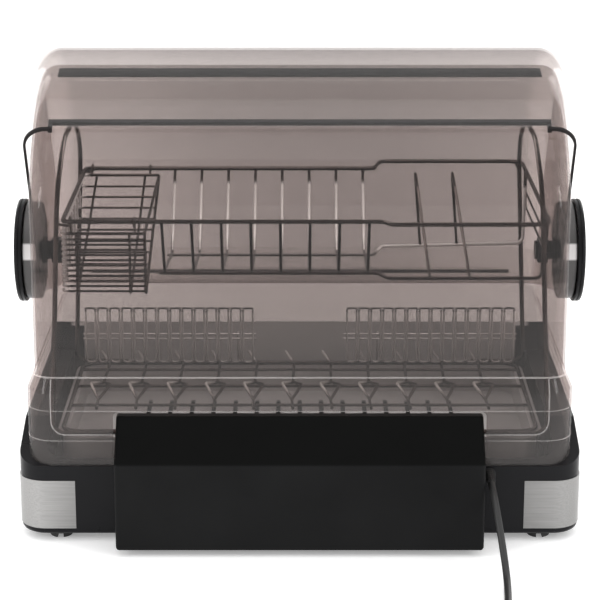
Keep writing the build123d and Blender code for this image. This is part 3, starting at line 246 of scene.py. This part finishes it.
def two_tone(name, axis, lo, hi, low, high, rough=0.5, metal=0.0, spec=0.5, grain=1000.0, grain_depth=0.00003, middle=()):
    """A moulding whose colour goes from low to high between two places on one axis."""
    m, nt, out = new_mat(name)
    p = nt.nodes.new("ShaderNodeBsdfPrincipled")
    p.inputs["Metallic"].default_value = metal
    p.inputs["Specular IOR Level"].default_value = spec
    tone = ramp(nt, along(nt, axis, lo, hi), [(0.0, low), *middle, (1.0, high)])
    mott = ramp(nt, noise(nt, 14.0, 4.0), [(0.3, (0.88, 0.88, 0.88)), (0.7, (1.1, 1.1, 1.1))])
    mx = nt.nodes.new("ShaderNodeMixRGB")
    mx.blend_type = "MULTIPLY"
    mx.inputs["Fac"].default_value = 1.0
    nt.links.new(tone, mx.inputs["Color1"])
    nt.links.new(mott, mx.inputs["Color2"])
    nt.links.new(mx.outputs["Color"], p.inputs["Base Color"])
    nt.links.new(
        remap(nt, noise(nt, 40.0, 3.0), max(0.02, rough - 0.08), rough + 0.08),
        p.inputs["Roughness"],
    )
    nt.links.new(bump(nt, noise(nt, grain, 2.0), 0.5, grain_depth), p.inputs["Normal"])
    nt.links.new(p.outputs["BSDF"], out.inputs["Surface"])
    return m


def brushed(name, color, rough=0.3, axis="x", depth=0.00003, shades=None):
    stretch = {"x": (0.02, 1, 1), "z": (1, 1, 0.02), "y": (1, 0.02, 1)}[axis]
    m, nt, out = new_mat(name)
    p = nt.nodes.new("ShaderNodeBsdfPrincipled")
    p.inputs["Metallic"].default_value = 1.0
    lines = noise(nt, 900.0, 3.0, stretch)
    dark = tuple(c * 0.86 for c in color)
    tone = ramp(nt, lines, [(0.35, dark), (0.65, color)])
    if shades:
        # the sheet is darker over its flat middle than round its corners, and lightest at its +X end
        mx = nt.nodes.new("ShaderNodeMixRGB")
        mx.blend_type = "MULTIPLY"
        mx.inputs["Fac"].default_value = 1.0
        nt.links.new(tone, mx.inputs["Color1"])
        nt.links.new(
            ramp(nt, along(nt, "X", -0.286, 0.286), [(at, (k, k, k)) for at, k in shades]),
            mx.inputs["Color2"],
        )
        tone = mx.outputs["Color"]
    nt.links.new(tone, p.inputs["Base Color"])
    nt.links.new(remap(nt, lines, rough - 0.08, rough + 0.1), p.inputs["Roughness"])
    nt.links.new(bump(nt, lines, 0.6, depth), p.inputs["Normal"])
    nt.links.new(p.outputs["BSDF"], out.inputs["Surface"])
    return m


def base_black(name, color, rough, spec):
    """The black moulding, with the duller grey of its front well's wall."""
    m, nt, out = new_mat(name)
    p = nt.nodes.new("ShaderNodeBsdfPrincipled")
    p.inputs["Specular IOR Level"].default_value = spec
    tone = ramp(
        nt,
        noise(nt, 14.0, 4.0),
        [(0.3, tuple(c * 0.88 for c in color)), (0.7, tuple(c * 1.12 for c in color))],
    )
    band = ramp(
        nt,
        along(nt, "Y", -0.1560, -0.1440),
        [(0.0, (0, 0, 0)), (0.28, (0, 0, 0)), (0.34, (1, 1, 1)), (0.72, (1, 1, 1)), (0.78, (0, 0, 0))],
    )
    # only inside the well, not on the outside of the base
    inside = ramp(
        nt,
        along(nt, "X", -0.30, 0.30),
        [(0.0, (0, 0, 0)), (0.060, (0, 0, 0)), (0.065, (1, 1, 1)), (0.935, (1, 1, 1)), (0.940, (0, 0, 0))],
    )
    both = nt.nodes.new("ShaderNodeMath")
    both.operation = "MULTIPLY"
    nt.links.new(band, both.inputs[0])
    nt.links.new(inside, both.inputs[1])
    mx = nt.nodes.new("ShaderNodeMixRGB")
    mx.inputs["Color2"].default_value = (0.45, 0.44, 0.435, 1.0)
    nt.links.new(both.outputs[0], mx.inputs["Fac"])
    nt.links.new(tone, mx.inputs["Color1"])
    nt.links.new(mx.outputs["Color"], p.inputs["Base Color"])
    nt.links.new(
        remap(nt, noise(nt, 40.0, 3.0), max(0.02, rough - 0.08), rough + 0.08),
        p.inputs["Roughness"],
    )
    nt.links.new(bump(nt, noise(nt, 900.0, 2.0), 0.5, 0.00002), p.inputs["Normal"])
    nt.links.new(p.outputs["BSDF"], out.inputs["Surface"])
    return m


M = {
    "base": base_black("black_gloss", (0.0065, 0.0065, 0.0075), 0.30, spec=0.13),
    "steel_trim": brushed(
        "satin_steel",
        (0.36, 0.356, 0.35),
        0.30,
        "x",
        depth=0.000008,
        shades=[(0.0, 0.86), (0.04, 0.82), (0.10, 0.63), (0.90, 0.70), (0.96, 1.0), (1.0, 1.0)],
    ),
    "foot_rubber": solid("foot_rubber", (0.02, 0.02, 0.02), 0.75, grain=1500, grain_depth=0.00008),
    "clear_shell": clear_plastic(
        "smoky_clear_shell",
        (0.615, 0.584, 0.575),
        front=[(0.0, (0.70, 0.67, 0.66)), (0.25, (0.70, 0.67, 0.66)), (0.5, (0.95, 0.94, 0.935)), (1.0, (0.97, 0.965, 0.96))],
        low_haze=[(0.0, 0.06), (0.2, 0.05), (0.35, 0.035), (0.55, 0.03), (0.7, 0.02), (0.85, 0.01), (1.0, 0.01)],
    ),
    "clear_lid": clear_plastic("smoky_clear_lid", (0.615, 0.584, 0.575), thin=(0.975, 0.968, 0.965)),
    "lip": solid("dark_lip", (0.005, 0.004, 0.004), 0.6, spec=0.02),
    "seal": solid("black_seal", (0.014, 0.012, 0.012), 0.55, spec=0.15),
        # the pale band round the hub's middle is a painted highlight
        "hub": two_tone(
        "hub_grey_painted_highlight",
        "Z",
        0.24,
        0.29,
        (0.085, 0.082, 0.082),
        (0.085, 0.082, 0.082),
        0.35,
        spec=0.3,
        middle=[(0.37, (0.085, 0.082, 0.082)), (0.41, (0.72, 0.70, 0.70)), (0.70, (0.66, 0.64, 0.64)), (0.74, (0.07, 0.068, 0.068))],
    ),
    "disc": solid("disc_black", (0.005, 0.005, 0.006), 0.32, spec=0.15),
    "nut": solid("nut_black", (0.008, 0.008, 0.009), 0.5),
    "wire": solid("steel_wire", (0.085, 0.070, 0.065), 0.2, metal=1.0, vary=0.25, grain=1800, grain_depth=0.00002, rough_vary=0.06),
    "tray_liner": solid("liner_grey", (0.46, 0.455, 0.45), 0.4, grain=900),
    # the box's sloped top is painted darker than its upright front: painted shade
    "heater_box": two_tone("heater_box_black_painted_shade", "Z", 0.0965, 0.0985, (0.0085, 0.0086, 0.0088), (0.0014, 0.0015, 0.0014), 0.34, spec=0.05),
    "screw": solid("zinc", (0.5, 0.5, 0.5), 0.35, metal=1.0),
    "fan_wheel": solid("fan_alu", (0.6, 0.6, 0.6), 0.35, metal=1.0),
    "motor": solid("motor_can", (0.35, 0.35, 0.36), 0.4, metal=1.0),
    "bracket": solid("bracket_zinc", (0.55, 0.55, 0.55), 0.35, metal=1.0),
    "ceramic_fins": solid("fins", (0.5, 0.5, 0.5), 0.35, metal=1.0),
    "thermostat": solid("thermostat_tan", (0.6, 0.55, 0.45), 0.5),
    "lamp": solid("lamp_glass", (0.75, 0.78, 0.82), 0.12, spec=0.6),
    "lamp_socket": solid("socket_white", (0.7, 0.7, 0.68), 0.45),
    "grille": solid("grille_black", (0.012, 0.012, 0.012), 0.45),
    "terminals": solid("terminal_white", (0.7, 0.7, 0.66), 0.5),
    "drip_tray": solid("water_tray_black", (0.016, 0.016, 0.018), 0.4),
    "panel": solid("panel_gloss", (0.014, 0.014, 0.016), 0.15, spec=0.5),
    "knob": solid("knob_silver", (0.55, 0.55, 0.56), 0.3, metal=0.8),
    "button": solid("button_silver", (0.58, 0.58, 0.59), 0.3, metal=0.8),
    "lens": solid("lens_red", (0.5, 0.03, 0.02), 0.1, spec=0.6),
    "board": solid("board_green", (0.03, 0.16, 0.06), 0.5),
    "cord": solid("cord_black", (0.012, 0.012, 0.012), 0.5, grain=1500, grain_depth=0.00003),
    "plug": solid("plug_black", (0.014, 0.014, 0.014), 0.45, grain=1200, grain_depth=0.00004),
    "pins": solid("pin_brass", (0.72, 0.58, 0.3), 0.25, metal=1.0),
}

slot_of = {s["node"]: s["material_slot"] for s in frame["record"]["subparts"]}
for name, obj in nodes.items():
    mat = M[slot_of[name]]
    if obj.data.materials:
        for i in range(len(obj.data.materials)):
            obj.data.materials[i] = mat
    else:
        obj.data.materials.append(mat)


def wire_with_painted_highlight(name, dark, painted_highlight, spans, base_metal=1.0, rough=0.2, repeat=None):
    """Polished wire with a painted highlight: its colour goes from the dark steel to a pale painted highlight where all
    the spans say so; each span is (axis, lo, hi, stops).
    """
    m, nt, out = new_mat(name)
    p = nt.nodes.new("ShaderNodeBsdfPrincipled")
    fac = None
    for axis, lo, hi, stops in spans:
        f = ramp(nt, along(nt, axis, lo, hi), [(at, (k, k, k)) for at, k in stops])
        if fac is None:
            fac = f
        else:
            mu = nt.nodes.new("ShaderNodeMath")
            mu.operation = "MULTIPLY"
            nt.links.new(fac, mu.inputs[0])
            nt.links.new(f, mu.inputs[1])
            fac = mu.outputs[0]
    if repeat:
        # the painted highlight falls on the same part of every wire in an evenly spaced row
        origin, pitch, stops = repeat
        sc = nt.nodes.new("ShaderNodeMath")
        sc.operation = "MULTIPLY_ADD"
        sc.inputs[1].default_value = 1000.0 / pitch
        sc.inputs[2].default_value = 20.5 - origin / pitch
        tc = nt.nodes.new("ShaderNodeTexCoord")
        sep = nt.nodes.new("ShaderNodeSeparateXYZ")
        nt.links.new(tc.outputs["Object"], sep.inputs["Vector"])
        nt.links.new(sep.outputs["X"], sc.inputs[0])
        fr = nt.nodes.new("ShaderNodeMath")
        fr.operation = "FRACT"
        nt.links.new(sc.outputs[0], fr.inputs[0])
        f = ramp(nt, fr.outputs[0], [(at, (k, k, k)) for at, k in stops])
        mu = nt.nodes.new("ShaderNodeMath")
        mu.operation = "MULTIPLY"
        nt.links.new(fac, mu.inputs[0])
        nt.links.new(f, mu.inputs[1])
        fac = mu.outputs[0]
    mx = nt.nodes.new("ShaderNodeMixRGB")
    mx.inputs["Color1"].default_value = (*dark, 1.0)
    mx.inputs["Color2"].default_value = (*painted_highlight, 1.0)
    nt.links.new(fac, mx.inputs["Fac"])
    nt.links.new(mx.outputs["Color"], p.inputs["Base Color"])
    # where the highlight is painted, the wire turns from metal to a pale non-metal colour
    nt.links.new(remap(nt, fac, base_metal, 0.15), p.inputs["Metallic"])
    nt.links.new(
        remap(nt, noise(nt, 40.0, 3.0), max(0.02, rough - 0.06), rough + 0.06),
        p.inputs["Roughness"],
    )
    nt.links.new(bump(nt, noise(nt, 1800.0, 2.0), 0.5, 0.00002), p.inputs["Normal"])
    nt.links.new(p.outputs["BSDF"], out.inputs["Surface"])
    return m


# the first colour is the wire's own dark steel; the second is a painted highlight
steel_dark, steel_painted_highlight = (0.078, 0.062, 0.058), (0.62, 0.60, 0.585)
# a painted highlight on the upright middles of the far wires
nodes["plate_wires"].data.materials[0] = wire_with_painted_highlight(
    "plate_wire_painted_highlight",
    steel_dark,
    steel_painted_highlight,
    [
        ("Y", -0.10, 0.0, [(0.0, 1), (0.5, 1), (0.7, 0), (1.0, 0)]),
        ("Z", 0.22, 0.33, [(0.0, 0), (0.11, 0), (0.15, 1), (0.80, 1), (0.85, 0), (1.0, 0)]),
    ],
)
# a painted highlight on one side of every hook, above its foot
nodes["lower_rack"].data.materials[0] = wire_with_painted_highlight(
    "lower_wire_painted_highlight",
    steel_dark,
    steel_painted_highlight,
    [("Z", 0.095, 0.125, [(0.0, 0), (0.15, 0), (0.3, 1), (1.0, 1)])],
    repeat=(216.6, 41.8, [(0.0, 0), (0.50, 0), (0.53, 1), (0.8, 1), (0.85, 0), (1.0, 0)]),
)
# a painted highlight on the wires at one end of the basket
nodes["cutlery_basket"].data.materials[0] = wire_with_painted_highlight(
    "basket_wire_painted_highlight",
    steel_dark,
    (0.55, 0.53, 0.52),
    [("X", 0.220, 0.245, [(0.0, 0), (0.45, 0), (0.7, 1), (1.0, 1)])],
)
# the comb wires are painted pale up their height, a painted highlight that fades out at the top
for side in ("left", "right"):
    nodes["plate_comb_" + side].data.materials[0] = wire_with_painted_highlight(
        "comb_wire_painted_highlight_" + side,
        (0.10, 0.09, 0.085),
        (0.92, 0.90, 0.885),
        [("Z", 0.10, 0.17, [(0.0, 0.35), (0.3, 0.6), (0.85, 0.7), (0.93, 0.1), (1.0, 0.0)])],
    )
# the lid's finger lip is thin and almost clear
nodes["lid_handle"].data.materials[0] = clear_plastic("smoky_clear_lip", (0.975, 0.97, 0.968), haze=0.01)


# ------------------------------------------------------------------ mains lead
route = [
    (-191.5, 206.02, 73.0),
    (-192.3, 236.0, 67.5),
    (-197.0, 262.0, 38.5),
    (-201.0, 285.0, 9.0),
    (-199.5, 316.0, 3.7),
    (-197.0, 345.0, 3.7),
    (-195.5, 370.0, 3.7),
    (-196.8, 392.0, 3.7),
]
coil_c = (-151.4, 412.0)
cord_d = 7.2
per_turn = 16
turns = 5.25
coil = []
steps = int(turns * per_turn)
for k in range(1, steps + 1):
    u = k / per_turn  # turns so far
    if u <= 3.0:
        # three turns on the table, each a diameter inside the last
        whole, part = int(u), u - int(u)
        r = 45.4 - 7.2 * whole - 7.2 * max(0.0, (part - 0.75) / 0.25)
        r = max(r, 31.0)
        z = 3.7
    else:
        v = u - 3.0
        whole, part = int(v), v - int(v)
        r = 31.0 + 7.2 * whole + 7.2 * max(0.0, (part - 0.75) / 0.25)
        r = min(r, 45.4)
        z = 3.7 + 7.2 * min(1.0, v / 0.25)
    a = math.radians(180.0 - 360.0 * u)
    coil.append((coil_c[0] + r * math.cos(a), coil_c[1] + r * math.sin(a), z))
end = coil[-1]
points = route + coil + [(coil_c[0] + 12.0, coil_c[1] + 45.4, 10.6), (coil_c[0] + 19.0, coil_c[1] + 45.4, 9.6)]

curve = bpy.data.curves.new("mains_lead", "CURVE")
curve.dimensions = "3D"
curve.bevel_depth = cord_d / 2000.0
curve.bevel_resolution = 6
curve.resolution_u = 8
curve.use_fill_caps = True
sp = curve.splines.new("NURBS")
sp.points.add(len(points) - 1)
for pt, p in zip(sp.points, points):
    pt.co = (*mm(*p), 1.0)
sp.order_u = 3
sp.use_endpoint_u = True
lead = bpy.data.objects.new("mains_lead", curve)
scene.collection.objects.link(lead)
curve.materials.append(M["cord"])
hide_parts("mains_cord", "cord_coil")
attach(lead, "cabinet")

# ------------------------------------------------------------------ moulded lines on the clear skirt
def bead(name, pts, radius):
    """A fine rounded ridge along the points, in millimetres, pale with a painted highlight."""
    cu = bpy.data.curves.new(name, "CURVE")
    cu.dimensions = "3D"
    cu.bevel_depth = radius / 1000.0
    cu.bevel_resolution = 2
    cu.use_fill_caps = True
    s = cu.splines.new("POLY")
    s.points.add(len(pts) - 1)
    for pt, q in zip(s.points, pts):
        pt.co = (*mm(*q), 1.0)
    ob = bpy.data.objects.new(name, cu)
    scene.collection.objects.link(ob)
    cu.materials.append(ridge_highlight_mat)
    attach(ob, "cabinet")
    return ob


def skirt_line(z, hw, back, r, front):
    """Round the back of the skirt at one height, from side to side."""
    pts = [(hw, front, z), (hw, back - r, z)]
    for k in range(1, 9):
        t = math.radians(90 * k / 8)
        pts.append((hw - r + r * math.cos(t), back - r + r * math.sin(t), z))
    left = [(-x, y, z_) for x, y, z_ in reversed(pts)]
    return pts + left


# the ridges are real moulded lines; their pale haze is a painted highlight along each
ridge_highlight_mat = clear_plastic("moulded_ridge_painted_highlight", (0.90, 0.885, 0.88), haze=0.17, haze_color=(0.86, 0.84, 0.83))
bead("shoulder_ridge", skirt_line(172.2, 269.0, 171.2, 20.9, -120.0), 1.1)
bead("skirt_ridge_high", skirt_line(139.0, 276.0, 178.0, 28.0, -120.0), 0.4)
bead("skirt_ridge_low", skirt_line(107.5, 276.0, 178.0, 28.0, -60.0), 0.45)
for side, name in ((1, "left"), (-1, "right")):
    pts = [(side * 249.5, 171.6, 170.5), (side * 250.0, 178.0, 156.5), (side * 250.0, 178.1, 128.0)]
    for k in range(1, 8):
        t = math.radians(90 * k / 7)
        pts.append((side * (250.0 - 14.0 + 14.0 * math.cos(t)), 178.1, 128.0 - 14.0 * math.sin(t)))
    pts.append((side * 188.5, 178.1, 114.0))
    bead("skirt_panel_line_" + name, pts, 0.75)

# ------------------------------------------------------------------ control marks
def plate_mesh(name, polys, y, thick, body, slot):
    """Thin raised shapes on a face that looks toward the user: each polygon is a list of (x, z) in millimetres."""
    bm = bmesh.new()
    for poly in polys:
        near = [bm.verts.new(mm(x, y - thick, z)) for x, z in poly]
        far = [bm.verts.new(mm(x, y, z)) for x, z in poly]
        n = len(poly)
        bm.faces.new(near)
        bm.faces.new(list(reversed(far)))
        for i in range(n):
            bm.faces.new((near[i], far[i], far[(i + 1) % n], near[(i + 1) % n]))
    bmesh.ops.recalc_face_normals(bm, faces=bm.faces)
    mesh = bpy.data.meshes.new(name)
    bm.to_mesh(mesh)
    bm.free()
    ob = bpy.data.objects.new(name, mesh)
    scene.collection.objects.link(ob)
    mesh.materials.append(M[slot])
    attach(ob, body)
    return ob


def arc_band(cx, cz, r, width, a0, a1, steps=28):
    """A flat ring or part of one, as quads; angles from the top, clockwise as the user sees it."""
    quads = []
    for i in range(steps):
        t0 = math.radians(a0 + (a1 - a0) * i / steps)
        t1 = math.radians(a0 + (a1 - a0) * (i + 1) / steps)
        ro, ri = r + width / 2, r - width / 2
        quads.append(
            [
                (cx + ro * math.sin(t0), cz + ro * math.cos(t0)),
                (cx + ro * math.sin(t1), cz + ro * math.cos(t1)),
                (cx + ri * math.sin(t1), cz + ri * math.cos(t1)),
                (cx + ri * math.sin(t0), cz + ri * math.cos(t0)),
            ]
        )
    return quads


def tick(cx, cz, r0, r1, width, angle):
    t = math.radians(angle)
    ux, uz = math.sin(t), math.cos(t)
    nx, nz = uz * width / 2, -ux * width / 2
    return [
        (cx + ux * r0 + nx, cz + uz * r0 + nz),
        (cx + ux * r1 + nx, cz + uz * r1 + nz),
        (cx + ux * r1 - nx, cz + uz * r1 - nz),
        (cx + ux * r0 - nx, cz + uz * r0 - nz),
    ]


def middle(name):
    lo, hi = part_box(name)
    return tuple((a + b) * 500.0 for a, b in zip(lo, hi))


kx, _, kz = middle("timer_knob")
px, _, pz = middle("power_button")
ux_, _, uz_ = middle("uv_button")
lx, _, lz = middle("indicator_lens")
panel_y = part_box("control_panel")[0][1] * 1000.0
marks = []
# the index above the timer
marks.append([(kx - 1.3, kz + 22.2), (kx + 1.3, kz + 22.2), (kx, kz + 20.5)])
# power: a broken ring with a stroke
marks += arc_band(px, pz + 14.5, 2.9, 0.55, 35, 325)
marks.append(tick(px, pz + 14.5, 0.6, 4.0, 0.6, 0))
# lamp: a ring with short rays
marks += arc_band(ux_, uz_ + 14.5, 1.7, 0.5, 0, 360)
marks += [tick(ux_, uz_ + 14.5, 2.7, 4.0, 0.5, 45 * k) for k in range(8)]
# a fine line round each button
marks += arc_band(px, pz, 9.2, 0.35, 0, 360, 48)
marks += arc_band(ux_, uz_, 9.2, 0.35, 0, 360, 48)
marks += arc_band(lx, lz, 4.2, 0.3, 0, 360, 32)
plate_mesh("panel_marks", marks, panel_y, 0.12, "cabinet", "lamp_socket")

# minutes on the timer's skirt, which turn with it
skirt_y = panel_y - 7.35
turn = -1 if [j for j in frame["record"]["behaviour"]["joints"] if j["name"] == "timer_turn"][0]["axis"][1] > 0 else 1
skirt = [tick(kx, kz, 18.9, 19.7, 0.3, 25 * k * turn) for k in range(13)]
plate_mesh("timer_ticks", skirt, skirt_y, 0.1, "timer_knob", "panel")
for k in range(7):
    txt = bpy.data.curves.new("minutes_%d" % (10 * k), "FONT")
    txt.body = str(10 * k)
    txt.size = 0.0027
    txt.extrude = 0.00006
    txt.align_x = "CENTER"
    txt.align_y = "CENTER"
    ob = bpy.data.objects.new("minutes_%d" % (10 * k), txt)
    a = math.radians(50 * k * turn)
    ob.location = mm(kx + 17.45 * math.sin(a), skirt_y - 0.05, kz + 17.45 * math.cos(a))
    ob.rotation_euler = (math.radians(90), a, 0)
    scene.collection.objects.link(ob)
    txt.materials.append(M["panel"])
    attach(ob, "timer_knob")

# ------------------------------------------------------------------ stage and light
world = bpy.data.worlds.new("world")
scene.world = world
world.use_nodes = True
bg = world.node_tree.nodes["Background"]
bg.inputs["Color"].default_value = (1.0, 1.0, 1.0, 1.0)
bg.inputs["Strength"].default_value = 1.0

bm = bmesh.new()
size = 14.0
vs = [bm.verts.new((x, y, -0.0002)) for x, y in ((-size, -size), (size, -size), (size, size), (-size, size))]
bm.faces.new(vs)
me = bpy.data.meshes.new("floor")
bm.to_mesh(me)
bm.free()
floor = bpy.data.objects.new("floor", me)
scene.collection.objects.link(floor)
fm, fnt, fout = new_mat("pale_floor")
fp = fnt.nodes.new("ShaderNodeBsdfPrincipled")
fp.inputs["Base Color"].default_value = (0.93, 0.93, 0.93, 1.0)
fp.inputs["Roughness"].default_value = 0.9
fp.inputs["Specular IOR Level"].default_value = 0.1
fp.inputs["Emission Color"].default_value = (1.0, 1.0, 1.0, 1.0)
fp.inputs["Emission Strength"].default_value = 0.25
fnt.links.new(fp.outputs["BSDF"], fout.inputs["Surface"])
me.materials.append(fm)


def area(name, loc, target, size_x, size_y, power, color=(1, 1, 1)):
    l = bpy.data.lights.new(name, "AREA")
    l.shape = "RECTANGLE"
    l.size = size_x
    l.size_y = size_y
    l.energy = power
    l.color = color
    o = bpy.data.objects.new(name, l)
    o.location = loc
    d = Vector(target) - Vector(loc)
    o.rotation_euler = d.to_track_quat("-Z", "Y").to_euler()
    scene.collection.objects.link(o)
    return o


area("left_strip", (1.9, 1.5, 0.9), (0, 0, 0.25), 0.4, 1.6, 16.0)
area("right_strip", (-1.9, 1.5, 0.9), (0, 0, 0.25), 0.4, 1.6, 16.0)
area("top_soft", (0, 0.2, 2.6), (0, 0, 0.3), 2.4, 1.6, 14.0)
area("front_left", (1.6, -1.9, 1.3), (0, 0, 0.25), 0.8, 1.4, 16.0)
area("front_right", (-1.6, -1.9, 1.3), (0, 0, 0.25), 0.8, 1.4, 16.0)

# a soft light under the roof, for the racks
inner = area("under_roof", (0, -0.01, 0.452), (0, -0.01, 0.0), 0.46, 0.12, 0.9)
inner.visible_camera = False
